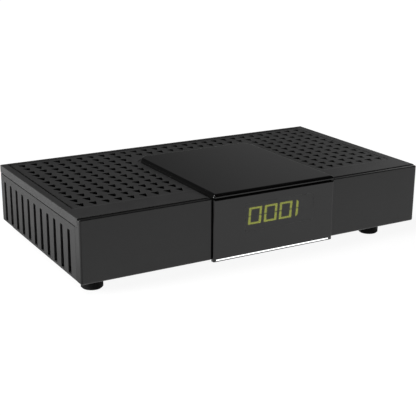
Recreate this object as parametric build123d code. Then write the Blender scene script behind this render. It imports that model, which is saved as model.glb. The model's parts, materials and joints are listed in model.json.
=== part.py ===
from build123d import *
import math
import os

# A small satellite television receiver in its plastic case, in millimetres.
# +Z is up, +X is to the right seen from the front, and the front faces -Y.
# The origin is at the middle of the bounding box in X and Y, on the surface under the feet.

# ---- driving dimensions: the case --------------------------------------------------------
case_width = 220.0
case_depth = 121.0          # fascia face to the rear edge of the cover
case_height = 35.2          # underside of the tray to the top of the cover's border
foot_height = 5.2           # how far the feet hold the tray off the surface
connector_reach = 9.0       # aerial socket beyond the cover's rear edge

skin = 2.0                  # tray floor and cover skirts
cover_skin = 2.5            # cover's flat top
fascia_skin = 2.6
side_skin = 3.0             # tray's side walls
seam = 0.15                 # between mouldings that touch
play = 0.2                  # between pieces that slide together
shadow_gap = 0.6            # open line between the cover's skirt and the tray's wall
corner_radius = 1.1         # fascia's upright corners and lower edges
edge_radius = 0.4           # cover's outer edges

skirt_height = 4.6          # cover's skirt at the sides
return_depth = 5.5          # how far the fascia wraps round the sides
return_gap = 0.4            # between that and the tray's wall
wall_inset = 0.1            # tray's side wall behind the skirt
lip_depth = 2.4             # fascia's lip in front of the cover's front edge
lip_drop = 0.4              # lip's top below the cover's
lip_gap = 0.35
lip_radius = 0.5            # its front edge
rear_lift = 0.9             # underside stepped up along the rear
rear_lift_depth = 17.0

field_depth = 0.4           # sunk panel with the vents
field_ramp_side = 0.2       # its sloped edges, seen from above
field_ramp_front = 2.8
field_rim = 0.5             # rounding where the slope meets the border
field_front = 17.6          # border in front of it
field_side = 4.2            # border beside it
field_rear = 2.2            # border behind it
groove_width = 1.3          # groove along each side of the panel
groove_depth = 0.8
vent_columns = 28
vent_rows = 12
vent_span_x = 199.6         # first column to last
vent_middle_x = 1.2         # their middle, right of the case's middle
vent_first_row = 23.9       # from the fascia face
vent_pitch_y = 8.04
vent_width = 5.2
vent_length = 5.8
vent_corner = 0.45
vent_margin = 4.5           # kept clear round the gloss band

slot_count = 11
slot_first = 14.8           # from the fascia face
slot_pitch = 9.9
slot_width_low = 4.2
slot_width_high = 3.3
slot_corner = 0.9           # at the upper end
slot_low = 2.0              # above the underside of the tray
slot_high = 26.2

# ---- driving dimensions: gloss band and display --------------------------------------------
band_width = 80.0           # gloss band over the top and down the front
band_centre = 7.0           # its middle, right of the case's middle
band_depth = 92.5           # fascia face to its rear edge
band_proud_front = 1.2
band_proud_top = 2.1
band_gap = 1.7              # round the plate in the cover
band_corner = 7.0           # rear corners seen from above
band_edge = 1.8             # rolled upper edge of the plate
pocket_depth = 0.7          # plate sunk in the cover
plate_lift = 0.1            # underside of its front edge above the cover's top
window_skin = 2.4
window_edge = 0.9
window_drop = 1.1           # window's lower edge below the case
window_gap = 0.8            # between the plate and the window
window_play_left = 1.0      # beside it, in the fascia
window_play_right = 0.5

digit_height = 9.6
digit_width = 8.2
digit_places = [0.0, 10.3, 20.4, 31.7]      # lower left corners, from the first
digit_upright = 1.25        # width of the upright bars
digit_level = 0.95          # width of the level bars
digit_slant = 4.0           # degrees
digit_first_x = -9.95       # lower left corner of the first digit
digit_low = 16.4            # above the underside of the tray
digit_gap = 0.6             # between upper and lower bars
segment_gap = 0.06          # between bars that meet at a corner
segment_depth = 0.4
lit_segments = ["abcdef", "abcdef", "abcdef", "ef"]

# ---- driving dimensions: inside ----------------------------------------------------------
panel_skin = 1.5
panel_inset = 3.0           # rear panel in front of the cover's rear edge
board_skin = 1.6
board_lift = 4.0            # standoffs under the main board
screw_radius = 1.5
screw_length = 26.0         # end of its shank above the underside of the tray
screw_head = 2.9
boss_radius = 3.5
boss_split = 18.0           # where the tray's boss meets the cover's
foot_radius = 5.9
foot_front_x = (-100.4, 82.2)
foot_front_inset = 8.7      # from the fascia face
foot_rear_x = (-94.0, 82.2)
foot_rear_inset = 14.0      # from the cover's rear edge
foot_socket = 1.2           # foot sunk into the tray

# ---- driving dimensions: rear connectors and switch -----------------------------------------
aerial_x, aerial_lift = -74.0, 8.0          # lifts are above the main board
scart_x, scart_width, scart_height = -23.0, 47.0, 15.6
hdmi_x, hdmi_width, hdmi_height = 14.0, 15.0, 6.0
usb_x, usb_width, usb_height = 35.0, 14.4, 7.2
audio_x, audio_lift = 53.0, 7.0
power_x, power_width, power_height = 68.0, 9.0, 11.0
switch_x, switch_lift = 90.0, 18.5          # its lift is above the underside of the tray
switch_width, switch_height, switch_depth = 19.0, 13.0, 14.0

aerial_radius = 4.76        # over the thread
aerial_root = 4.4           # under the nut and through the panel
aerial_bore = 3.6
aerial_hole = 5.0
washer_skin = 0.6
nut_skin = 2.2
audio_radius = 4.15
audio_bore = 3.4
audio_hub = 4.6
barrel_bore = 2.85
barrel_depth = 9.0

rocker_tilt = 10.0          # degrees, each way from level
rocker_half = 7.6           # half its length
rocker_height = 9.4         # along the hinge axis
rocker_face = 4.0           # hinge axis to the bottom of its shallow vee
rocker_play = 0.3
pin_radius = 1.2
pin_clearance = 0.06
pin_reach = 1.1             # pin beyond each end of the rocker

# ---- places worked out from them ---------------------------------------------------------
half_width = case_width / 2
front = -(case_depth + connector_reach - band_proud_front) / 2
rear = front + case_depth
rear_tip = rear + connector_reach
base = foot_height
top = base + case_height
floor_top = base + skin
board_low = floor_top + board_lift
board_top = board_low + board_skin
panel_face = rear - panel_inset
panel_inside = panel_face - panel_skin

wall_outside = half_width - wall_inset
wall_inside = wall_outside - side_skin
wall_start = front + return_depth + return_gap
skirt_low = top - skirt_height
cover_low = top - cover_skin
cover_front = front + lip_depth + lip_gap

window_back = front + window_skin - band_proud_front
window_low = base - window_drop
window_top = top + plate_lift - window_gap
band_left = band_centre - band_width / 2
band_right = band_centre + band_width / 2

display_middle_x = band_centre + 3.0
display_middle_z = base + digit_low + digit_height / 2
display_plane = window_back + 0.1
module_front = window_back + 0.5
module_width, module_height, module_depth = 46.0, 16.0, 6.5
display_board_face = module_front + module_depth
receiver_x = 40.0

screw_places = [(x, front + y) for x in (-102.0, 102.0) for y in (26.0, 92.0)]
standoff_places = [(-86.0, front + 20.0), (86.0, front + 20.0),
                   (-52.0, front + 96.0), (76.0, front + 96.0)]
foot_places = ([(x, front + foot_front_inset) for x in foot_front_x]
               + [(x, rear - foot_rear_inset) for x in foot_rear_x])

aerial_z = board_top + aerial_lift
audio_z = board_top + audio_lift
power_z = board_top + power_height / 2
switch_z = base + switch_lift
nut_face = panel_face + washer_skin + nut_skin
pivot_y = panel_face - 2.0


# ---- helpers -------------------------------------------------------------------------------
def block(x, y, z):
    """A box between a low and a high value along each axis."""
    middle = Pos((x[0] + x[1]) / 2, (y[0] + y[1]) / 2, (z[0] + z[1]) / 2)
    return middle * Box(x[1] - x[0], y[1] - y[0], z[1] - z[0])


def post(place, z, radius):
    """An upright cylinder between two heights."""
    middle = Pos(place[0], place[1], (z[0] + z[1]) / 2)
    return middle * Cylinder(radius, z[1] - z[0])


def rod(x, z, y, radius):
    """A cylinder along Y between two depths."""
    middle = Pos(x, (y[0] + y[1]) / 2, z) * Rot(90, 0, 0)
    return middle * Cylinder(radius, y[1] - y[0])


def polygon(points):
    """A flat face from its corners."""
    return make_face(Polyline(points, close=True))


def rectangle(x, y, z):
    """A level rectangle at height z, between two values of x and of y."""
    return polygon([(x[0], y[0], z), (x[1], y[0], z), (x[1], y[1], z), (x[0], y[1], z)])


def fused(shapes):
    """Several shapes as one."""
    shapes = list(shapes)
    return shapes[0].fuse(*shapes[1:]) if len(shapes) > 1 else shapes[0]


def about(centre, width):
    """Low and high value either side of a centre."""
    return centre - width / 2, centre + width / 2


def across(half):
    """Low and high value either side of the case's middle."""
    return -half, half


# ---- case mouldings --------------------------------------------------------------------------
def vent_places():
    """Centres of the cover's vents: a regular grid, left out under the gloss band."""
    pitch = vent_span_x / (vent_columns - 1)
    for column in range(vent_columns):
        x = vent_middle_x - vent_span_x / 2 + column * pitch
        for row in range(vent_rows):
            y = front + vent_first_row + row * vent_pitch_y
            beside = abs(x - band_centre) > band_width / 2 + vent_margin
            behind = y > front + band_depth + vent_margin
            if beside or behind:
                yield x, y


def vent_face():
    """One triangular vent: its point to the front, its flat side to the rear."""
    face = polygon([(0, -vent_length / 2), (vent_width / 2, vent_length / 2),
                    (-vent_width / 2, vent_length / 2)])
    return fillet(face.vertices(), vent_corner)


def band_outline(gap):
    """The gloss plate's outline seen from above, grown by a gap: round rear corners."""
    left, right = band_left - gap, band_right + gap
    ends = front - band_proud_front, front + band_depth + gap
    face = rectangle((left, right), ends, 0)
    return fillet(face.vertices().group_by(Axis.Y)[-1], band_corner + gap)


def field_cutter():
    """The shallow panel that holds the vents, with sloped edges."""
    side, near, far = half_width - field_side, front + field_front, rear - field_rear
    low = rectangle(across(side - field_ramp_side), (near + field_ramp_front, far - field_ramp_side),
                    top - field_depth)
    high = rectangle(across(side), (near, far), top)
    return loft([low, high])


def top_cover():
    inner = half_width - skin
    shell = block(across(half_width), (cover_front, rear), (cover_low, top))
    for x in ((-half_width, -inner), (inner, half_width)):
        shell += block(x, (cover_front, rear), (skirt_low, top))
    shell -= field_cutter()
    high = shell.edges().group_by(Axis.Z)[-1]
    inward = [e for e in high if abs(e.center().X) < half_width - 1.0
              and cover_front + 1.0 < e.center().Y < rear - 1.0]
    shell = fillet(inward, field_rim)
    outward = [e for e in shell.edges().group_by(Axis.Z)[-1]
               if abs(e.center().X) > half_width - 0.01 or e.center().Y < cover_front + 0.01]
    shell = fillet(outward, edge_radius)
    shell -= extrude(Plane.XY.offset(top - pocket_depth) * band_outline(band_gap), 5.0)
    for side in (-1, 1):
        foot = side * (half_width - field_side - field_ramp_side)
        shell -= block(sorted((foot, foot - side * groove_width)),
                       (front + field_front + field_ramp_front, rear - field_rear - field_ramp_side),
                       (top - field_depth - groove_depth, top))
    places = [Pos(x, y, cover_low - 1) for x, y in vent_places()]
    shell -= extrude(Sketch() + [place * vent_face() for place in places], cover_skin + 2)
    for place in screw_places:
        shell += post(place, (base + boss_split + play, cover_low), boss_radius)
        shell -= post(place, (base + boss_split, base + screw_length + 1.0), screw_radius)
    return shell


def slot_cutter(side):
    """The vent slots of one side wall: upright, narrower towards their round upper ends."""
    low, high = slot_width_low / 2, slot_width_high / 2
    start = side * (wall_inside - 1.0)
    plane = Plane(origin=(start, 0, base), x_dir=(0, 1, 0), z_dir=(1, 0, 0))
    outline = polygon([(-low, slot_low), (low, slot_low), (high, slot_high), (-high, slot_high)])
    outline = fillet(outline.vertices().group_by(Axis.Y)[-1], slot_corner)
    depth = side * (side_skin + 2.0)
    places = [Pos(front + slot_first + index * slot_pitch, 0) for index in range(slot_count)]
    return fused(extrude(plane * place * outline, depth) for place in places)


def base_tray():
    floor_inside = half_width - skin - 1.0
    tongue = (wall_inside, half_width - skin - play)
    wall_top = skirt_low - shadow_gap
    tray = block(across(wall_outside), (wall_start, rear), (base, floor_top))
    tray += block(across(floor_inside), (front + fascia_skin + play, wall_start),
                  (base + shadow_gap, floor_top))
    for side in (-1, 1):
        wall = sorted((side * wall_outside, side * wall_inside))
        tray += block(wall, (wall_start, rear), (floor_top, wall_top))
        tray += block(sorted(side * x for x in tongue), (wall_start, rear),
                      (wall_top, cover_low - seam))
        lower = [e for e in tray.edges().filter_by(Axis.Y)
                 if abs(e.center().X - side * wall_outside) < 0.01
                 and abs(e.center().Z - base) < 0.01]
        tray = fillet(lower, corner_radius)
        tray -= slot_cutter(side)
    tray -= block(across(half_width), (rear - rear_lift_depth, rear + 1), (base - 1, base + rear_lift))
    for x in range(-60, 61, 12):
        tray -= block(about(x, 3.0), (front + 40.0, front + 80.0), (base - 1, floor_top + 1))
    for y in ((panel_inside - 1.6, panel_inside - 0.1), (panel_face + 0.1, panel_face + 1.3)):
        tray += block(across(wall_inside), y, (floor_top, floor_top + 1.4))
    for place in screw_places:
        tray += post(place, (floor_top, base + boss_split), boss_radius)
        tray -= post(place, (base - 1, base + boss_split), screw_radius + play)
        tray -= post(place, (base - 1, base + 3.0), screw_head + 0.3)
    for place in standoff_places:
        tray += post(place, (floor_top, board_low), boss_radius)
        tray -= post(place, (floor_top, board_low), 1.2)
    for place in foot_places:
        tray -= post(place, (base - 1, base + foot_socket), foot_radius + 0.4)
    return tray


def front_fascia():
    """The front, its lip in front of the cover, and its returns under the cover's skirts."""
    hollow_half = half_width - skin
    shell = block(across(half_width), (front, front + return_depth), (base, skirt_low - seam))
    shell += block(across(half_width), (front, front + lip_depth), (base, top - lip_drop))
    outer = [e for e in shell.edges() if e.center().Y < front + return_depth - 0.1
             and (e.center().Z < base + 0.01 or e.center().Y < front + 0.01)
             and e.center().Z < top - lip_drop - 0.01]
    shell = fillet(outer, corner_radius)
    shell = fillet(shell.faces().sort_by(Axis.Z)[-1].edges().sort_by(Axis.Y)[0], lip_radius)
    shell -= block(across(hollow_half), (front + fascia_skin, front + return_depth + 1),
                   (base - 1, top))
    shell += block(across(hollow_half - play), (front + lip_depth, front + fascia_skin),
                   (skirt_low - 1.0, cover_low - seam))
    opening = (band_left - window_play_left, band_right + window_play_right)
    shell -= block(opening, (front - 1, window_back), (base - 1, top))
    shell -= block((band_left - band_gap, band_right + band_gap), (front, cover_front),
                   (top - pocket_depth - seam, top))
    shell -= block(about(display_middle_x, module_width + 3.0), (front, front + 5),
                   about(display_middle_z, module_height + 1.0))
    shell -= rod(receiver_x, display_middle_z, (front, front + 5), 4.0)
    for x in (-80.0, -20.0, 40.0, 85.0):
        shell += block(about(x, 8.0), (front + fascia_skin, front + 12.0),
                       (floor_top + 0.1, floor_top + 1.7))
    return shell


def band_plate():
    plate = extrude(Plane.XY.offset(top - pocket_depth) * band_outline(0.0),
                    pocket_depth + band_proud_top)
    plate -= block((band_left - 1, band_right + 1), (front - band_proud_front - 1, window_back + play),
                   (top - pocket_depth - 1, top + plate_lift))
    plate = fillet(plate.edges().filter_by(Axis.Z).group_by(Axis.Y)[0], 0.8)
    return fillet(plate.faces().sort_by(Axis.Z)[-1].edges(), band_edge)


def display_window():
    pane = block((band_left, band_right), (front - band_proud_front, window_back),
                 (window_low, window_top))
    face = pane.faces().sort_by(Axis.Y)[0]
    rolled = [e for e in face.edges() if e.center().Z > window_low + 1.0]
    return fillet(rolled, window_edge)


def rear_panel():
    through = (panel_inside - 1, panel_face + 1)
    plate = block(across(wall_inside - play), (panel_inside, panel_face),
                  (floor_top + seam, cover_low - seam))
    for x, z, radius in ((aerial_x, aerial_z, aerial_hole), (audio_x, audio_z, audio_hub + 0.3)):
        plate -= rod(x, z, through, radius)
    for x, width, height in ((scart_x, scart_width, scart_height), (hdmi_x, hdmi_width, hdmi_height),
                             (usb_x, usb_width, usb_height), (power_x, power_width, power_height)):
        plate -= block(about(x, width + 2 * play), through, (board_top - play, board_top + height + play))
    plate -= block(about(switch_x, switch_width + 2 * play), through,
                   about(switch_z, switch_height + 2 * play))
    for x in range(-100, -85, 5):
        plate -= block(about(x, 2.0), through, (base + 9.0, base + 27.0))
    return plate


def rubber_feet():
    feet = []
    for place in foot_places:
        foot = post(place, (0.0, base + foot_socket), foot_radius)
        feet.append(chamfer(foot.faces().sort_by(Axis.Z)[0].edges(), 0.7))
    return feet


def case_screws():
    screws = []
    for place in screw_places:
        head = post(place, (base + 1.0, base + 3.0), screw_head)
        drive = [Pos(place[0], place[1], base + 1.5) * Rot(0, 0, turn) * Box(3.0, 0.7, 1.2)
                 for turn in (0, 90)]
        shank = post(place, (base + 3.0, base + screw_length), screw_radius)
        screws.append(head - fused(drive) + shank)
    return screws


# ---- display -----------------------------------------------------------------------------------
def segment_polygons():
    """The seven bars a to g of one digit, from its lower left corner; bars meet in mitred corners."""
    wide, thin, gap = digit_upright, digit_level, segment_gap
    right, high, middle = digit_width, digit_height, digit_height / 2
    upright = [(0, gap), (wide, thin + gap), (wide, middle - digit_gap / 2), (0, middle - digit_gap / 2)]
    level = [(gap, 0), (right - gap, 0), (right - wide - gap, thin), (wide + gap, thin)]
    cross = [(wide + gap, middle), (2 * wide, middle + thin / 2), (right - 2 * wide, middle + thin / 2),
             (right - wide - gap, middle), (right - 2 * wide, middle - thin / 2),
             (2 * wide, middle - thin / 2)]

    def mirrored(points, x=False, y=False):
        return [(right - a if x else a, high - b if y else b) for a, b in points]

    return {"a": mirrored(level, y=True), "b": mirrored(upright, x=True, y=True),
            "c": mirrored(upright, x=True), "d": level, "e": upright,
            "f": mirrored(upright, y=True), "g": cross}


def digit_segments(index, names):
    """Chosen bars of one digit, leaning to the right, as thin solids behind the window."""
    lean = math.tan(math.radians(digit_slant))
    x0, z0 = digit_first_x + digit_places[index], base + digit_low
    solids = []
    for name, points in segment_polygons().items():
        if name in names:
            face = polygon([(x0 + x + z * lean, display_plane, z0 + z) for x, z in points])
            solids.append(extrude(face, segment_depth, dir=(0, 1, 0)))
    return solids


def display_lit():
    return [s for i, names in enumerate(lit_segments) for s in digit_segments(i, names)]


def display_unlit():
    dark = [set("abcdefg") - set(names) for names in lit_segments]
    return [s for i, names in enumerate(dark) for s in digit_segments(i, names)]


def display_housing():
    return block(about(display_middle_x, module_width), (module_front, display_board_face),
                 about(display_middle_z, module_height))


def display_board():
    return block(about(band_centre + 6.0, 76.0),
                 (display_board_face, display_board_face + board_skin),
                 (board_top + 0.5, base + 30.0))


def infrared_receiver():
    body = block(about(receiver_x, 6.0), (display_board_face - 4.0, display_board_face),
                 about(display_middle_z, 7.0))
    return body + rod(receiver_x, display_middle_z, (window_back + 1.0, display_board_face - 4.0), 2.6)


def display_header():
    y, pitch, pins = display_board_face + board_skin, 2.54, 8
    row = block(about(band_centre, pins * pitch), (y + 1.5, y + 4.0), (board_top, board_top + 2.5))
    first = band_centre - pitch * (pins - 1) / 2
    bent = [block(about(first + pitch * i, 0.6), (y, y + 1.5), (board_top + 0.9, board_top + 1.5))
            for i in range(pins)]
    return fused([row, *bent])


# ---- boards and what is on them -------------------------------------------------------------------
chip_x, chip_y, chip_skin = 5.0, 62.0, 1.6      # decoder, under its heat sink


def on_board(x, y, width, depth, height):
    """A block standing on the main board, placed from the fascia face."""
    return block(about(x, width), about(front + y, depth), (board_top, board_top + height))


def main_board():
    board = block(across(96.0), (front + 13.0, panel_inside - 2.0), (board_low, board_top))
    for place in standoff_places:
        board -= post(place, (board_low - 1, board_top + 1), 1.6)
    for place in screw_places:
        board -= post(place, (board_low - 1, board_top + 1), boss_radius + 2.0)
    return board


def board_screws():
    return [post(place, (board_top, board_top + 1.8), 2.7)
            + post(place, (floor_top, board_top), 1.2) for place in standoff_places]


def decoder_chip():
    return on_board(chip_x, chip_y, 24.0, 24.0, chip_skin)


def heat_sink():
    side, plate, fin, count = 28.0, 2.0, 1.1, 9
    low = board_top + chip_skin
    pitch = (side - fin - 0.9) / (count - 1)
    fins = [block(about(chip_x + pitch * (i - (count - 1) / 2), fin), about(front + chip_y, side),
                  (low + plate, low + 10.0)) for i in range(count)]
    return fused([block(about(chip_x, side), about(front + chip_y, side), (low, low + plate)), *fins])


def memory_chips():
    return [on_board(-28.0, y, 9.0, 13.0, 1.1) for y in (52.0, 72.0)]


def flash_chip():
    return on_board(34.0, 50.0, 8.0, 12.0, 1.2)


def clock_crystal():
    return on_board(32.0, 70.0, 11.0, 4.5, 3.5)


def capacitors():
    places = [(60.0, 40.0), (60.0, 54.0), (76.0, 62.0), (76.0, 76.0), (-64.0, 44.0), (-76.0, 56.0)]
    cans = []
    for x, y in places:
        can = post((x, front + y), (board_top, board_top + 12.0), 4.0)
        cans.append(fillet(can.faces().sort_by(Axis.Z)[-1].edges(), 0.6))
    return cans


def power_coils():
    return [on_board(60.0, 70.0, 10.0, 10.0, 4.0), on_board(60.0, 84.0, 10.0, 10.0, 4.0),
            on_board(-60.0, 60.0, 8.0, 8.0, 4.0)]


def tuner_can():
    can = block((-90.0, -58.0), (front + 70.0, panel_inside - 3.0), (board_top, board_top + 14.0))
    return fillet(can.edges().filter_by(Axis.Z), 0.8)


# ---- rear connectors ----------------------------------------------------------------------------
def aerial_socket():
    start, flange = panel_inside - 3.0, 1.5
    barrel = rod(aerial_x, aerial_z, (start, start + flange), 6.5)
    barrel += rod(aerial_x, aerial_z, (start + flange, nut_face), aerial_root)
    barrel += rod(aerial_x, aerial_z, (nut_face, rear_tip), aerial_radius)
    return barrel - rod(aerial_x, aerial_z, (start + 4.0, rear_tip), aerial_bore)


def aerial_insulator():
    start = panel_inside + 1.0
    ring = rod(aerial_x, aerial_z, (start, rear_tip - 0.6), aerial_bore)
    return ring - rod(aerial_x, aerial_z, (start + 1.0, rear_tip), 0.6)


def aerial_washer():
    ring = rod(aerial_x, aerial_z, (panel_face, panel_face + washer_skin), 7.0)
    return ring - rod(aerial_x, aerial_z, (panel_face - 1, panel_face + 2), aerial_root)


def aerial_nut():
    low = panel_face + washer_skin
    hexagon = Plane(origin=(aerial_x, low, aerial_z), z_dir=(0, 1, 0)) * RegularPolygon(6.4, 6)
    return extrude(hexagon, nut_skin) - rod(aerial_x, aerial_z, (low - 1, low + 4), aerial_root)


def scart_socket():
    """A housing with the D-shaped groove for the plug's shroud and its two rows of contacts."""
    outside, inside = panel_face + 0.8, panel_inside - 13.0
    middle = board_top + scart_height / 2
    body = block(about(scart_x, scart_width), (inside, outside), (board_top, board_top + scart_height))
    half_long, half_short, cut = 20.6, 5.9, 3.6
    outer = [(-half_long, -half_short), (half_long - cut, -half_short), (half_long, cut - half_short),
             (half_long, half_short), (-half_long, half_short)]
    plane = Plane(origin=(scart_x, outside, middle), x_dir=(-1, 0, 0), z_dir=(0, 1, 0))
    shroud = polygon(outer)
    body -= extrude(plane * (shroud - offset(shroud, -1.3)), -9.0)
    contacts = []
    for row in (-1, 1):
        for i in range(10):
            x = scart_x - 16.2 + 3.6 * i + row * 0.9
            contacts.append(block(about(x, 1.2), (outside - 8.0, outside + 1),
                                  about(middle + row * 2.4, 2.6)))
    return body - fused(contacts)


def hdmi_socket():
    outside, inside = panel_face + 0.4, panel_inside - 9.0
    half, foot, low, shoulder = hdmi_width / 2, 5.6, 0.2, 2.2
    outline = polygon([(-half, shoulder), (-half, hdmi_height), (half, hdmi_height),
                       (half, shoulder), (foot, low), (-foot, low)])

    def level(y):
        return Plane(origin=(hdmi_x, y, board_top), x_dir=(-1, 0, 0), z_dir=(0, 1, 0))

    shell = extrude(level(inside) * outline, outside - inside)
    shell -= extrude(level(outside) * offset(outline, -0.5), -9.0)
    return shell + block(about(hdmi_x, 11.0), (outside - 9.0, outside - 1.0),
                         (board_top + 2.6, board_top + 3.8))


def usb_socket():
    outside, inside, bottom = panel_face + 0.4, panel_inside - 11.0, 10.5
    low, high = board_top, board_top + usb_height
    shell = block(about(usb_x, usb_width), (inside, outside), (low, high))
    shell -= block(about(usb_x, 12.6), (outside - bottom, outside + 1), about((low + high) / 2, 5.2))
    return shell + block(about(usb_x, 11.2), (outside - bottom, outside - 1.2),
                         (high - 3.3, high - 1.6))


def audio_housing():
    body = block(about(audio_x, 10.4), (panel_inside - 10.0, panel_inside - play),
                 (board_top, board_top + 12.4))
    hub = rod(audio_x, audio_z, (panel_inside - play, panel_face + 0.8), audio_hub)
    return body + hub - rod(audio_x, audio_z, (panel_inside - 6.0, panel_face + 1), audio_bore)


def audio_shell():
    start, end = panel_face + 0.8, panel_face + 9.0
    ring = rod(audio_x, audio_z, (start, end), audio_radius)
    return ring - rod(audio_x, audio_z, (start - 1, end + 1), audio_bore)


def audio_insulator():
    start, end = panel_inside - 6.0, panel_face + 8.2
    return rod(audio_x, audio_z, (start, end), audio_bore) - rod(audio_x, audio_z, (start + 2, end), 1.6)


def power_jack():
    body = block(about(power_x, power_width), (panel_inside - 12.0, panel_face + 0.4),
                 (board_top, board_top + power_height))
    return body - rod(power_x, power_z, (panel_face - barrel_depth, panel_face + 1), barrel_bore)


def power_pin():
    pin = rod(power_x, power_z, (panel_face - barrel_depth, panel_face - 1.0), 1.05)
    return fillet(pin.faces().sort_by(Axis.Y)[-1].edges(), 0.5)


# ---- power switch ---------------------------------------------------------------------------------
def switch_housing():
    bezel = block(about(switch_x, switch_width + 2.0), (panel_face, panel_face + 1.6),
                  about(switch_z, switch_height + 2.0))
    bezel = fillet(bezel.faces().sort_by(Axis.Y)[-1].edges(), 0.6)
    tub = block(about(switch_x, switch_width), (panel_face - switch_depth, panel_face),
                about(switch_z, switch_height))
    housing = bezel + tub
    housing -= block(about(switch_x, 2 * (rocker_half + 1.0)),
                     (panel_face - switch_depth + 1.5, panel_face + 3),
                     about(switch_z, rocker_height + 2 * rocker_play))
    housing -= post((switch_x, pivot_y), about(switch_z, rocker_height + 2 * pin_reach + 0.4),
                    pin_radius + pin_clearance)
    return housing


def power_rocker():
    """The rocker's shallow vee, turned onto its stop, with a pin at each end of its axis."""
    rise = rocker_half * math.tan(math.radians(rocker_tilt))
    back, heel = -4.0, 3.0
    outline = polygon([(-rocker_half, rocker_face + rise), (0, rocker_face),
                       (rocker_half, rocker_face + rise), (rocker_half, -0.5),
                       (heel, back), (-heel, back), (-rocker_half, -0.5)])
    body = extrude(Plane.XY.offset(-rocker_height / 2) * outline, rocker_height)
    body &= Cylinder(math.hypot(rocker_half, rocker_face + rise) - 0.4, 2 * rocker_height)
    body += Cylinder(pin_radius, rocker_height + 2 * pin_reach)
    return Pos(switch_x, pivot_y, switch_z) * Rot(0, 0, rocker_tilt) * body


def switch_terminals():
    """Bent strips from the back of the switch down to the board."""
    back, reach, strip_skin = panel_face - switch_depth, 4.0, 0.8
    strips = []
    for x in (switch_x - 5.0, switch_x + 4.0):
        strip = block(about(x, 2.0), (back - reach, back), about(switch_z, strip_skin))
        strip += block(about(x, 2.0), (back - reach, back - reach + strip_skin),
                       (board_top, switch_z - strip_skin / 2))
        strips.append(strip)
    return strips


# ---- every piece, by the name of its node ------------------------------------------------------------
pieces = {
    "top_cover": top_cover,
    "base_tray": base_tray,
    "front_fascia": front_fascia,
    "band_plate": band_plate,
    "display_window": display_window,
    "rear_panel": rear_panel,
    "rubber_feet": rubber_feet,
    "case_screws": case_screws,
    "display_lit": display_lit,
    "display_unlit": display_unlit,
    "display_housing": display_housing,
    "display_board": display_board,
    "display_header": display_header,
    "infrared_receiver": infrared_receiver,
    "main_board": main_board,
    "board_screws": board_screws,
    "decoder_chip": decoder_chip,
    "heat_sink": heat_sink,
    "memory_chips": memory_chips,
    "flash_chip": flash_chip,
    "clock_crystal": clock_crystal,
    "capacitors": capacitors,
    "power_coils": power_coils,
    "tuner_can": tuner_can,
    "aerial_socket": aerial_socket,
    "aerial_insulator": aerial_insulator,
    "aerial_washer": aerial_washer,
    "aerial_nut": aerial_nut,
    "scart_socket": scart_socket,
    "hdmi_socket": hdmi_socket,
    "usb_socket": usb_socket,
    "audio_housing": audio_housing,
    "audio_shell": audio_shell,
    "audio_insulator": audio_insulator,
    "power_jack": power_jack,
    "power_pin": power_pin,
    "switch_housing": switch_housing,
    "power_rocker": power_rocker,
    "switch_terminals": switch_terminals,
}

os.makedirs("parts", exist_ok=True)
for name, make in pieces.items():
    shape = make()
    solids = shape if isinstance(shape, list) else shape.solids()
    export_step(Compound(children=[s for item in solids for s in item.solids()]),
                f"parts/{name}.step")
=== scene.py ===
import json
import math

import bpy
from mathutils import Matrix, Vector


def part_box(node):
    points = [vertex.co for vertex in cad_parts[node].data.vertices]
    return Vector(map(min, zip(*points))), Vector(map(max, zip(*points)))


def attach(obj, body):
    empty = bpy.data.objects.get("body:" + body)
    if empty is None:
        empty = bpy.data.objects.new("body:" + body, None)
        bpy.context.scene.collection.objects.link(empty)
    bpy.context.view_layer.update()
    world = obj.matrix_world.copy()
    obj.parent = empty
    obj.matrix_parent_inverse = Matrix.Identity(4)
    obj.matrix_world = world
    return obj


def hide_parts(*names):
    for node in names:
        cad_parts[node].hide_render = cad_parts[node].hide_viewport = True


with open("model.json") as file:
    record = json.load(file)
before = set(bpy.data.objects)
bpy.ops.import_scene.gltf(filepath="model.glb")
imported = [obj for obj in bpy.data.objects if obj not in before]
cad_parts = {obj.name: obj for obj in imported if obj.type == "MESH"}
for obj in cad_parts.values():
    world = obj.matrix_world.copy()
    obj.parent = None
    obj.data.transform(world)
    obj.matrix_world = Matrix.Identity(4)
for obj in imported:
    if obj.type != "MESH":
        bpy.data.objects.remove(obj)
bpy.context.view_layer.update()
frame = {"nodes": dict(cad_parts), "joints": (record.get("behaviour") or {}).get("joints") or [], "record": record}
nodes = frame["nodes"]
record = frame["record"]

MM = 0.001
LOW, HIGH = 0.3, 0.7        # nearly all of a noise texture lies between these
bpy.context.scene.view_settings.view_transform = "Standard"


# ---- camera ----------------------------------------------------------------------------------
def make_camera():
    """The photograph's view: from the front left, a little above, with a long lens."""
    azimuth, elevation, roll = math.radians(30.165), math.radians(17.572), math.radians(0.371)
    distance = 590.7 * MM
    aim = Vector((0.6, -1.5, 12.4)) * MM
    back = Vector((-math.sin(azimuth) * math.cos(elevation),
                   -math.cos(azimuth) * math.cos(elevation), math.sin(elevation)))
    right = Vector((math.cos(azimuth), -math.sin(azimuth), 0.0))
    up = back.cross(right)
    right, up = (right * math.cos(roll) + up * math.sin(roll),
                 up * math.cos(roll) - right * math.sin(roll))
    data = bpy.data.cameras.new("camera")
    data.sensor_width = 36.0
    data.lens = 83.3
    data.clip_start, data.clip_end = 0.01, 100.0
    camera = bpy.data.objects.new("camera", data)
    camera.matrix_world = Matrix((right, up, back)).transposed().to_4x4()
    camera.location = aim + back * distance
    bpy.context.scene.collection.objects.link(camera)
    bpy.context.scene.camera = camera


make_camera()


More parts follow.
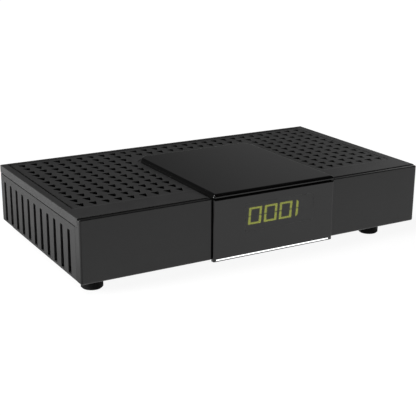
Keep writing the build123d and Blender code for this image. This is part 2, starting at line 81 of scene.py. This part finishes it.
# ---- node trees ------------------------------------------------------------------------------
class Nodes:
    """A node tree with short calls for adding and joining nodes."""

    def __init__(self, owner):
        owner.use_nodes = True
        self.owner = owner
        self.tree = owner.node_tree
        self.shader = self.tree.nodes.get("Principled BSDF") or self.tree.nodes.get("Background")

    def add(self, kind, **settings):
        """A node; each setting is a property of it, an input by name, or an output joined to one."""
        node = self.tree.nodes.new("ShaderNode" + kind)
        for key, value in settings.items():
            if hasattr(node, key):
                setattr(node, key, value)
            else:
                self.feed(node, key.replace("_", " "), value)
        return node

    def feed(self, node, key, value):
        """Sets or joins one input, given by its name or its number."""
        if isinstance(value, bpy.types.NodeSocket):
            self.tree.links.new(value, node.inputs[key])
        else:
            node.inputs[key].default_value = value

    def set(self, **values):
        for key, value in values.items():
            self.feed(self.shader, key.replace("_", " "), value)

    def math(self, operation, *values):
        """The result of one arithmetic step on numbers or outputs."""
        node = self.tree.nodes.new("ShaderNodeMath")
        node.operation = operation
        for index, value in enumerate(values):
            self.feed(node, index, value)
        return node.outputs[0]

    def vector(self, operation, *values):
        """The result of one step on vectors."""
        node = self.tree.nodes.new("ShaderNodeVectorMath")
        node.operation = operation
        for index, value in enumerate(values):
            self.feed(node, index, value)
        return node.outputs["Value" if operation in ("DOT_PRODUCT", "LENGTH") else "Vector"]

    def span(self, value, low, high, start=0.0, end=1.0, smooth=False):
        """A value from low..high brought to start..end and held there beyond."""
        node = self.add("MapRange", interpolation_type="SMOOTHSTEP" if smooth else "LINEAR")
        for key, number in (("Value", value), ("From Min", low), ("From Max", high),
                            ("To Min", start), ("To Max", end)):
            self.feed(node, key, number)
        return node.outputs["Result"]

    def mix(self, factor, first, second):
        """A colour between two."""
        node = self.add("Mix", data_type="RGBA")
        for key, value in ((0, factor), (6, first), (7, second)):
            self.feed(node, key, value)
        return node.outputs[2]

    def noise(self, size, detail=3.0, stretch=(1.0, 1.0, 1.0)):
        """Noise whose blobs are about size mm across, longer along an axis stretched below one."""
        place = self.add("TexCoord").outputs["Object"]
        if stretch != (1.0, 1.0, 1.0):
            place = self.vector("MULTIPLY", place, stretch)
        texture = self.add("TexNoise", Scale=1.0 / (size * MM), Detail=detail, Roughness=0.6)
        self.feed(texture, "Vector", place)
        return texture.outputs["Fac"]

    def axes(self):
        """The place on the object as three numbers, in metres."""
        split = self.add("SeparateXYZ", Vector=self.add("TexCoord").outputs["Object"])
        return split.outputs["X"], split.outputs["Y"], split.outputs["Z"]

    def bump(self, height, depth, below=None):
        """A normal from a height between 0 and 1 that stands for so many mm."""
        node = self.add("Bump", Strength=1.0, Distance=depth * MM, Height=height)
        if below is not None:
            self.feed(node, "Normal", below)
        return node.outputs["Normal"]


def rgba(colour):
    if isinstance(colour, (int, float)):
        colour = (colour,) * 3
    return tuple(colour) + (1.0,)


def shade(colour, amount):
    """A colour made lighter or darker."""
    return rgba([part * amount for part in rgba(colour)[:3]])


# ---- materials -------------------------------------------------------------------------------
def surface(name, colour, roughness, grain=0.4, depth=0.01, mottle=0.12, spread=0.06,
            specular=0.5, metallic=0.0, stretch=(1.0, 1.0, 1.0)):
    """A solid material: a fine grain (size and depth in mm) over broad, faint clouds of tone.

    The grain also varies the roughness by spread; a stretch draws it out into brushed lines."""
    cloud_size = 14.0
    made = Nodes(bpy.data.materials.new(name))
    grains, clouds = made.noise(grain, stretch=stretch), made.noise(cloud_size, detail=4.0)
    tone = made.span(clouds, LOW, HIGH)
    made.set(Base_Color=made.mix(tone, shade(colour, 1 - mottle), shade(colour, 1 + mottle)),
             Roughness=made.span(grains, LOW, HIGH, roughness - spread, roughness + spread),
             Specular_IOR_Level=specular, Metallic=metallic,
             Normal=made.bump(grains, depth))
    return made


def moulded_finish(name, node, shade_of_black):
    """Spark-eroded black outside, with faint pits; the walls of the openings and the inside get painted shade: a
    darker colour and a weaker reflection.
    """
    skin = 1.1 * MM             # as deep as the texture reaches in from the outer faces
    pit_size, pit_depth = 0.9, 0.012
    # painted shade: colour and reflection strength for the inside and the openings' walls
    painted_shade_black, painted_shade_specular = 0.004, 0.1
    made = surface(name, shade_of_black, 0.5, grain=0.4, depth=0.02, mottle=0.15)
    low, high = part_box(node)
    x, y, z = made.axes()
    side = made.math("GREATER_THAN", made.math("ABSOLUTE", x), high.x - skin)
    outer = made.math("MAXIMUM", side, made.math("GREATER_THAN", z, high.z - skin))
    outer = made.math("MAXIMUM", outer, made.math("LESS_THAN", z, low.z + skin))
    outer = made.math("MAXIMUM", outer, made.math("GREATER_THAN", y, high.y - skin))
    pits = made.noise(pit_size, detail=2.0)
    fine = made.shader.inputs["Normal"].links[0].from_socket
    tone = made.shader.inputs["Base Color"].links[0].from_socket
    # painted shade: away from the outer faces the colour is darkened and the reflection weakened
    made.set(Normal=made.bump(made.span(pits, 0.35, 0.6, smooth=True), pit_depth, below=fine),
             Base_Color=made.mix(outer, rgba(painted_shade_black), tone),
             Specular_IOR_Level=made.span(outer, 0.0, 1.0, painted_shade_specular, 0.5))
    return made


def window_finish():
    """A smoked pane, printed black but over the display and along the edge below the case."""
    strip_overlap, strip_end = 0.2 * MM, 1.7 * MM       # past the fascia's edge; short of the pane's sides
    smoke, clear = (0.020, 0.021, 0.019), (0.97, 0.98, 0.98)
    made = Nodes(bpy.data.materials.new("window_smoke"))
    low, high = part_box("display_housing")
    x, _, z = made.axes()
    middle_x, middle_z = (low.x + high.x) / 2, (low.z + high.z) / 2
    beside = made.math("ABSOLUTE", made.math("SUBTRACT", x, middle_x))
    above = made.math("ABSOLUTE", made.math("SUBTRACT", z, middle_z))
    shown = made.math("MULTIPLY", made.math("LESS_THAN", beside, (high.x - low.x) / 2),
                      made.math("LESS_THAN", above, (high.z - low.z) / 2))
    pane_low, pane_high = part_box("display_window")
    aside = made.math("ABSOLUTE", made.math("SUBTRACT", x, (pane_low.x + pane_high.x) / 2))
    case_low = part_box("front_fascia")[0].z
    strip = made.math("MULTIPLY", made.math("LESS_THAN", z, case_low + strip_overlap),
                      made.math("LESS_THAN", aside, (pane_high.x - pane_low.x) / 2 - strip_end))
    print_tone = made.mix(made.noise(20.0), rgba(0.0030), rgba(0.0045))
    tinted = made.mix(shown, print_tone, rgba(smoke))
    gloss = made.span(made.noise(3.0), LOW, HIGH, 0.015, 0.03)
    made.set(Base_Color=made.mix(strip, tinted, rgba(clear)),
             Transmission_Weight=made.math("MAXIMUM", shown, strip), Roughness=gloss,
             Normal=made.bump(made.noise(9.0, detail=1.0), 0.0015), IOR=1.5)
    return made


def segment_finish():
    """Lit diffuser: a yellow-green glow with faint clouds, seen through the smoked pane."""
    deep, pale = (0.86, 0.92, 0.085), (0.98, 1.0, 0.13)
    made = surface("segment_glow", (0.42, 0.50, 0.08), 0.45, grain=0.2, depth=0.004)
    made.set(Emission_Color=made.mix(made.noise(2.5), rgba(deep), rgba(pale)), Emission_Strength=12.0)
    return made


def board_finish():
    """Circuit board: solder mask over copper tracks, with tinned pads on a grid."""
    grid, pad_radius, region_size = 2.54, 0.22, 17.0        # the pads' radius is a share of the grid
    copper, tin = (0.012, 0.075, 0.028), (0.5, 0.48, 0.42)
    made = surface("board_mask", (0.006, 0.030, 0.012), 0.35, grain=1.2, depth=0.004)
    x, y, _ = made.axes()
    bent = made.noise(9.0, detail=0.0)

    def lines(along, across, pitch, wobble):
        """Tracks side by side, swinging a little, in every other strip of the board."""
        swing = made.math("MULTIPLY_ADD", bent, wobble * MM, along)
        part = made.math("FRACT", made.math("DIVIDE", swing, pitch * MM))
        region = made.span(made.math("FRACT", made.math("DIVIDE", across, region_size * MM)), 0.45, 0.5)
        return made.math("MULTIPLY", region, made.math("LESS_THAN", part, 0.4))

    tracks = made.math("MAXIMUM", lines(x, y, 1.3, 4.0), lines(y, x, 1.7, 5.0))
    place = made.add("TexCoord").outputs["Object"]
    cell = made.vector("FRACTION", made.vector("MULTIPLY", place, (1 / (grid * MM), 1 / (grid * MM), 0.0)))
    apart = made.vector("LENGTH", made.vector("SUBTRACT", cell, (0.5, 0.5, 0.0)))
    pads = made.math("MULTIPLY", made.math("LESS_THAN", apart, pad_radius),
                     made.math("GREATER_THAN", made.noise(7.0, detail=1.0), 0.56))
    mask = made.shader.inputs["Base Color"].links[0].from_socket
    green = made.mix(tracks, mask, rgba(copper))
    made.set(Base_Color=made.mix(pads, green, rgba(tin)), Metallic=pads, Normal=made.bump(tracks, 0.03))
    return made


def capacitor_finish():
    """Shrink sleeve with paler marks, and a bare can top."""
    sleeve_end = 0.5            # mm below the top
    made = surface("capacitor_sleeve", (0.010, 0.014, 0.045), 0.3, grain=0.8, depth=0.01)
    z = made.axes()[2]
    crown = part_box("capacitors")[1].z
    bare = made.span(z, crown - (sleeve_end + 0.05) * MM, crown - (sleeve_end - 0.05) * MM)
    stripe = made.span(made.noise(5.0, detail=0.0), 0.56, 0.58)
    sleeve = made.shader.inputs["Base Color"].links[0].from_socket
    marked = made.mix(stripe, sleeve, rgba((0.16, 0.18, 0.22)))
    made.set(Base_Color=made.mix(bare, marked, rgba((0.62, 0.62, 0.63))), Metallic=bare)
    return made


def brushed(name, colour, roughness, along, grain=0.25, depth=0.003, **more):
    """Metal with fine lines along one axis."""
    stretch = tuple(0.03 if axis == along else 1.0 for axis in "xyz")
    return surface(name, colour, roughness, grain=grain, depth=depth, metallic=1.0,
                   stretch=stretch, spread=0.08, **more)


def make_materials():
    """One finished material for each of the record's material slots."""
    black = (0.010, 0.010, 0.0105)
    return {
        "cover_plastic": moulded_finish("cover_black", "top_cover", 0.028),
        "tray_plastic": moulded_finish("tray_black", "base_tray", 0.018),
        "fascia_plastic": surface("fascia_black", 0.0065, 0.36, grain=0.25, depth=0.005),
        "gloss_black": surface("gloss_black", 0.0035, 0.05, grain=6.0, depth=0.0008, spread=0.015),
        "smoked_window": window_finish(),
        "panel_plastic": surface("panel_black", 0.012, 0.42, grain=0.3, depth=0.01),
        "foot_rubber": surface("foot_rubber", 0.004, 0.75, grain=0.5, depth=0.02, specular=0.15),
        "screw_steel": brushed("screw_zinc", (0.42, 0.42, 0.41), 0.35, "x"),
        "segment_lit": segment_finish(),
        "segment_unlit": surface("segment_dark", (0.010, 0.011, 0.007), 0.5, grain=0.2, depth=0.004),
        "display_plastic": surface("display_black", 0.003, 0.7, grain=0.3, depth=0.01, specular=0.2),
        "board_green": board_finish(),
        "chip_plastic": surface("chip_epoxy", 0.012, 0.55, grain=0.15, depth=0.006),
        "sink_aluminium": brushed("sink_aluminium", (0.30, 0.30, 0.31), 0.38, "y"),
        "capacitor_sleeve": capacitor_finish(),
        "coil_ferrite": surface("coil_ferrite", 0.020, 0.6, grain=0.3, depth=0.03, mottle=0.3),
        "shield_steel": brushed("shield_tin", (0.55, 0.55, 0.53), 0.3, "x", mottle=0.08),
        "connector_nickel": surface("nickel", (0.62, 0.60, 0.56), 0.2, grain=0.5, depth=0.002,
                                    metallic=1.0, mottle=0.06),
        "connector_brass": surface("tinned_brass", (0.62, 0.50, 0.28), 0.28, grain=0.4, depth=0.003,
                                   metallic=1.0),
        "insulator_white": surface("insulator_white", (0.74, 0.73, 0.69), 0.4, grain=0.5, depth=0.004,
                                   mottle=0.04),
        "socket_plastic": surface("socket_black", black, 0.4, grain=0.25, depth=0.008),
        "socket_orange": surface("socket_orange", (0.70, 0.16, 0.015), 0.3, grain=0.4, depth=0.004,
                                 mottle=0.06),
        "switch_plastic": surface("switch_black", black, 0.45, grain=0.25, depth=0.01),
        "rocker_plastic": surface("rocker_black", black, 0.22, grain=2.0, depth=0.002),
    }


materials = {slot: made.owner for slot, made in make_materials().items()}


def dress_nodes():
    """Gives every CAD node the material of its slot in the record."""
    for part in record["subparts"]:
        slots = nodes[part["node"]].data.materials
        slots.clear()
        slots.append(materials[part["material_slot"]])


dress_nodes()


# ---- detailed pieces -------------------------------------------------------------------------
def add_piece(name, vertices, faces, slot, body="case"):
    """A mesh piece in the row's frame (mm), smooth but for its sharp edges, riding on a body."""
    mesh = bpy.data.meshes.new(name)
    mesh.from_pydata([Vector(v) * MM for v in vertices], [], faces)
    mesh.materials.append(materials[slot])
    mesh.polygons.foreach_set("use_smooth", [True] * len(mesh.polygons))
    mesh.set_sharp_from_angle(angle=math.radians(35))
    piece = bpy.data.objects.new(name, mesh)
    bpy.context.scene.collection.objects.link(piece)
    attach(piece, body)
    return piece


def box_mm(node):
    """A node's lowest and highest corner in mm."""
    low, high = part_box(node)
    return low / MM, high / MM


def lathe(x, z, rings, sides):
    """Vertices and faces round an axis along Y; each ring is a depth and a radius by angle."""
    vertices, faces = [], []
    for y, radius in rings:
        for step in range(sides):
            angle = 2 * math.pi * step / sides
            r = radius(angle)
            vertices.append((x + r * math.cos(angle), y, z + r * math.sin(angle)))
    for row in range(len(rings) - 1):
        for step in range(sides):
            a, b = row * sides + step, row * sides + (step + 1) % sides
            faces.append((a, a + sides, b + sides, b))
    faces.append(tuple(range(sides)))
    faces.append(tuple(reversed(range((len(rings) - 1) * sides, len(rings) * sides))))
    return vertices, faces


def aerial_thread():
    """The aerial socket with its 32-per-inch thread cut in the free length of the barrel."""
    low, high = box_mm("aerial_socket")
    nut_face = box_mm("aerial_nut")[1].y
    x, z = (low.x + high.x) / 2, (low.z + high.z) / 2
    crest, root, shank, bore, pitch = 4.76, 4.33, 4.4, 3.6, 25.4 / 32
    flange, tip, bore_start, run_out = 1.5, 0.45, 4.0, 0.4      # the thread fades over its run-out
    rows, sides = 8, 56                                         # rings in a turn, points in a ring
    thread_low, thread_high = nut_face, high.y - tip

    def plain(radius):
        return lambda angle: radius

    def helix(y):
        def radius(angle):
            turn = (y / pitch - angle / (2 * math.pi)) % 1.0
            rise = min(1.0, 1.25 * abs(2 * turn - 1))
            fade = min(1.0, (y - thread_low) / run_out, (thread_high - y) / run_out)
            return crest - (crest - root) * (1 - rise) * max(0.0, fade)
        return radius

    count = round((thread_high - thread_low) / pitch * rows)
    turned = [thread_low + (thread_high - thread_low) * i / count for i in range(count + 1)]
    rings = [(low.y, plain(high.x - x)), (low.y + flange, plain(high.x - x)),
             (low.y + flange, plain(shank)), (thread_low, plain(shank))]
    rings += [(y, helix(y)) for y in turned]
    rings += [(high.y, plain(crest - tip)), (high.y, plain(bore)), (low.y + bore_start, plain(bore))]
    vertices, faces = lathe(x, z, rings, sides)
    piece = add_piece("aerial_socket_threaded", vertices, faces, "connector_nickel")
    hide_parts("aerial_socket")


def leaf(x, width, path, skin):
    """A bent strip: a path of (y, z) points given a width along X and a thickness along Z."""
    vertices, faces = [], []
    for y, z in path:
        for side in (-width / 2, width / 2):
            vertices += [(x + side, y, z), (x + side, y, z + skin)]
    for i in range(len(path) - 1):
        a, b = 4 * i, 4 * i + 4
        faces += [(a, a + 2, b + 2, b), (a + 1, b + 1, b + 3, a + 3),
                  (a, b, b + 1, a + 1), (a + 2, a + 3, b + 3, b + 2)]
    last = 4 * (len(path) - 1)
    faces += [(0, 1, 3, 2), (last, last + 2, last + 3, last + 1)]
    return vertices, faces


def add_leaves(name, leaves, slot):
    """Several bent strips as one piece."""
    vertices, faces = [], []
    for new_vertices, new_faces in leaves:
        shift = len(vertices)
        vertices += new_vertices
        faces += [tuple(index + shift for index in face) for face in new_faces]
    add_piece(name, vertices, faces, slot)


def scart_contacts():
    """Sprung contacts, bowed towards the plug, in two rows of ten slots."""
    low, high = box_mm("scart_socket")
    middle_x, middle_z, outside = (low.x + high.x) / 2, (low.z + high.z) / 2, high.y
    row_height, row_shift, pitch, start = 2.4, 0.9, 3.6, -16.2
    springs = []
    for row in (-1, 1):
        for i in range(10):
            x = middle_x + start + pitch * i + row * row_shift
            z = middle_z + row * row_height
            path = [(outside - 7.8, z - 0.9), (outside - 5.0, z - 0.8), (outside - 3.6, z - 0.2),
                    (outside - 2.4, z + 0.05), (outside - 1.4, z - 0.35)]
            springs.append(leaf(x, 0.8, path, 0.25))
    add_leaves("scart_contacts", springs, "connector_nickel")


def hdmi_contacts():
    """Plated strips on the tongue: ten above and nine below, 1 mm apart."""
    low, high = box_mm("hdmi_socket")
    middle_x, start, end = (low.x + high.x) / 2, high.y - 8.5, high.y - 1.4
    board = low.z - 0.2         # the socket's lower edge is this far above the board
    width, skin = 0.36, 0.07
    strips = []
    for count, z in ((10, board + 3.8), (9, board + 2.53)):
        for i in range(count):
            x = middle_x + i - (count - 1) / 2
            strips.append(leaf(x, width, [(start, z), (end, z)], skin))
    add_leaves("hdmi_contacts", strips, "connector_brass")


def usb_contacts():
    """Four sprung strips under the tongue."""
    low, high = box_mm("usb_socket")
    middle_x, outside = (low.x + high.x) / 2, high.y
    under = high.z - 3.3        # the tongue's lower face
    path = [(outside - 9.5, under - 0.12), (outside - 5.0, under - 0.14),
            (outside - 3.2, under - 0.5), (outside - 2.0, under - 0.14)]
    strips = [leaf(middle_x + place, 1.0, path, 0.12) for place in (-3.5, -1.0, 1.0, 3.5)]
    add_leaves("usb_contacts", strips, "connector_brass")


def rocker_marks():
    """The usual line and circle, one on each half of the rocker's face."""
    tilt, face, middle = math.radians(10.0), 4.0, 3.8       # the vee's slope, depth and half's middle
    depth, rise = 0.05, 0.12                                # under and above the surface
    hinge = Matrix.Translation(Vector(frame["joints"][0]["pos_m"]) / MM) @ Matrix.Rotation(tilt, 4, "Z")

    def placed(half, points):
        """Points (along, out, up) on one half of the vee, brought to their place."""
        slope = Matrix.Rotation(half * tilt, 4, "Z")
        whole = hinge @ Matrix.Translation((0, face, 0)) @ slope
        return [whole @ Vector((half * middle + along, out, up)) for along, out, up in points]

    def band(outline_in, outline_out):
        """A thin flat ring between two outlines of the same count, let into the surface."""
        count = len(outline_in)
        points = [(along, out, up) for out in (-depth, rise)
                  for line in (outline_in, outline_out) for along, up in line]
        faces = []
        for i in range(count):
            j = (i + 1) % count
            inner, outer, inner_top, outer_top = 0, count, 2 * count, 3 * count
            faces += [(inner_top + i, outer_top + i, outer_top + j, inner_top + j),
                      (outer + i, outer + j, outer_top + j, outer_top + i),
                      (inner + i, inner_top + i, inner_top + j, inner + j),
                      (inner + i, inner + j, outer + j, outer + i)]
        return points, faces

    def circle(radius, count=40):
        return [(radius * math.cos(2 * math.pi * i / count), radius * math.sin(2 * math.pi * i / count))
                for i in range(count)]

    def stroke(half_width, half_height):
        """A line with round ends."""
        points = []
        for end in (1, -1):
            for i in range(9):
                angle = math.pi * i / 8 + (0 if end == 1 else math.pi)
                points.append((half_width * math.cos(angle),
                               end * half_height + half_width * math.sin(angle)))
        return points

    half_height = 1.1
    marks = (("mark_off", 1, circle(0.95), circle(1.3)),
             ("mark_on", -1, stroke(0.02, half_height), stroke(0.2, half_height)))
    for name, half, inside, outside in marks:
        points, faces = band(inside, outside)
        add_piece(name, placed(half, points), faces, "insulator_white", "rocker")


aerial_thread()
scart_contacts()
hdmi_contacts()
usb_contacts()
rocker_marks()


# ---- stage: floor, sky and lamps ---------------------------------------------------------------
def make_floor():
    """A white floor: white as seen and as mirrored, and merely pale for the light it throws back.

    As seen it is whitest from half a metre out; as mirrored it has painted shade, darkening beyond that,
    and a painted shadow close beside the object's left side."""
    size = 30.0
    pale, beneath = 0.8, 0.16       # to other light, and under its own white where it is seen
    mesh = bpy.data.meshes.new("floor")
    mesh.from_pydata([(-size, -size, 0), (size, -size, 0), (size, size, 0), (-size, size, 0)],
                     [], [(0, 1, 2, 3)])
    floor = bpy.data.objects.new("floor", mesh)
    bpy.context.scene.collection.objects.link(floor)
    made = Nodes(bpy.data.materials.new("floor_white"))
    rays = made.add("LightPath").outputs
    direct = made.math("MAXIMUM", rays["Is Camera Ray"], rays["Is Transmission Ray"])
    seen = made.math("MAXIMUM", direct, rays["Is Glossy Ray"])
    away = made.vector("LENGTH", made.add("TexCoord").outputs["Object"])
    shown = made.math("MULTIPLY", direct, made.span(away, 0.15, 0.5, 0.92, 1.0))
    # painted shade: the floor as mirrored darkens from half a metre out
    mirrored = made.math("MULTIPLY", rays["Is Glossy Ray"], made.span(away, 0.5, 1.6, 0.86, 0.15))
    x = made.axes()[0]
    # painted shadow: the floor as mirrored is darkened close beside the object's left side
    beside = made.span(x, -0.150, -0.120, 0.84, 0.30, smooth=True)
    before = made.span(x, -0.112, -0.108, 0.0, 1.0, smooth=True)
    mirrored = made.math("MULTIPLY", mirrored, made.math("MAXIMUM", beside, before))
    made.set(Base_Color=made.mix(seen, rgba(pale), rgba(beneath)), Roughness=0.9,
             Specular_IOR_Level=0.0, Emission_Color=rgba(1.0),
             Emission_Strength=made.math("ADD", shown, mirrored))
    mesh.materials.append(made.owner)


def make_sky():
    """A dark studio, brighter towards the horizon behind the object, with one soft glow to the right."""
    base, horizon, glow = 0.025, 0.14, 0.165
    glow_way = tuple(Vector((0.85, 0.45, 0.20)).normalized())
    world = bpy.data.worlds.new("studio")
    bpy.context.scene.world = world
    made = Nodes(world)
    way = made.add("TexCoord").outputs["Generated"]
    height = made.add("SeparateXYZ", Vector=way).outputs["Z"]
    behind = made.span(made.vector("DOT_PRODUCT", way, (0.6, 0.8, 0.0)), 0.3, 0.9)
    low = made.span(height, 0.30, 0.0, 0.0, horizon, smooth=True)
    total = made.math("MULTIPLY_ADD", low, behind, base)
    near = made.vector("DOT_PRODUCT", way, glow_way)
    total = made.math("ADD", total, made.span(near, 0.74, 0.96, 0.0, glow, smooth=True))
    made.set(Strength=total, Color=rgba(1.0))


def make_lamp(name, direction, distance, diameter, power):
    """A round lamp of a diameter in metres, so many metres off and facing the object."""
    aim = Vector((0.0, 0.0, 0.02))
    data = bpy.data.lights.new(name, "AREA")
    data.shape = "DISK"
    data.size = diameter
    data.energy = power
    lamp = bpy.data.objects.new(name, data)
    towards = Vector(direction).normalized()
    lamp.location = aim + towards * distance
    lamp.rotation_mode = "QUATERNION"
    lamp.rotation_quaternion = towards.to_track_quat("Z", "Y")
    bpy.context.scene.collection.objects.link(lamp)


make_floor()
make_sky()
make_lamp("overhead", (-0.35, 0.15, 0.92), 1.6, 0.6, 11.0)
make_lamp("left", (-0.95, 0.15, 0.25), 1.4, 0.9, 24.0)
make_lamp("right", (0.77, 0.57, 0.28), 1.1, 0.25, 0.2)
